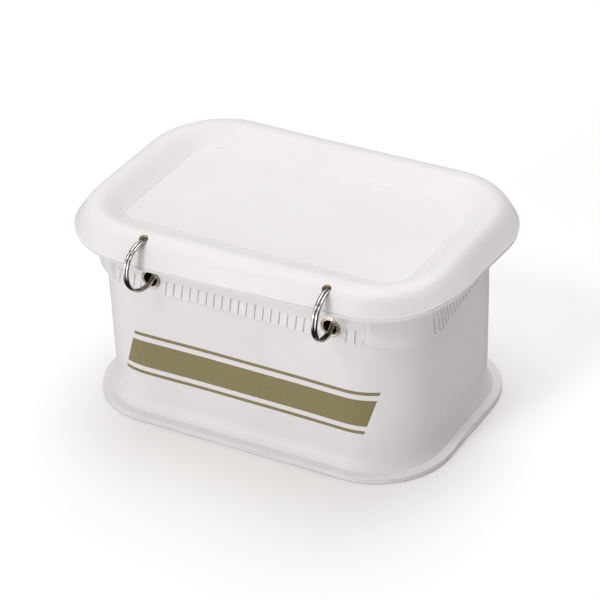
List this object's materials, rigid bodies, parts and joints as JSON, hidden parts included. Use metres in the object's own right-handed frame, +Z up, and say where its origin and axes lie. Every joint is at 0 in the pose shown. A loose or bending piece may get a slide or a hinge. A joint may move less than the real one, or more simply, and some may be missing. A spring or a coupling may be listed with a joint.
{
  "type": "lidded bait box",
  "caption": "Soft white rectangular bait box with a welded foot flange, a ribbed rim hem and a padded, sunk lid hinged on steel split rings through eyelets.",
  "frame": {"origin": "middle of the flat underside that the box stands on", "axes": "+X along the long side, to the right seen from the hinge side; the hinge side faces -Y; +Z up"},
  "size_m": [0.2, 0.142, 0.1034],
  "materials": {
    "white_sheet": "smooth, faintly satin soft sheet",
    "stiffener": "plain, hidden in the hem",
    "foam": "closed-cell foam, hidden in the lid",
    "plated_eyelet": "bright nickel plate",
    "ring_wire": "polished steel wire"
  },
  "bodies": {
    "box": {"floor_sheet": "white_sheet", "wall_sheet": "white_sheet", "rear_seam_strip": "white_sheet", "rim_hem": "white_sheet", "mouth_frame": "stiffener", "eyelet_left": "plated_eyelet", "eyelet_right": "plated_eyelet", "washer_left": "plated_eyelet", "washer_right": "plated_eyelet"},
    "lid": {"lid_cover": "white_sheet", "lid_liner": "white_sheet", "lid_core": "foam"},
    "ring_left": {"ring_left": "ring_wire"},
    "ring_right": {"ring_right": "ring_wire"}
  },
  "joints": [
    {"name": "lid_hinge", "type": "hinge", "parent": "box", "child": "lid", "pos_m": [0, -0.0627, 0.0894], "axis": [1, 0, 0], "range_deg": [0, 180]},
    {"name": "ring_left_spin", "type": "hinge", "parent": "box", "child": "ring_left", "pos_m": [-0.04675, -0.0627, 0.0894], "axis": [0.991, -0.1305, 0.0297], "continuous": true},
    {"name": "ring_right_spin", "type": "hinge", "parent": "box", "child": "ring_right", "pos_m": [0.04975, -0.0627, 0.0894], "axis": [0.9988, 0.0349, -0.0349], "continuous": true}
  ]
}
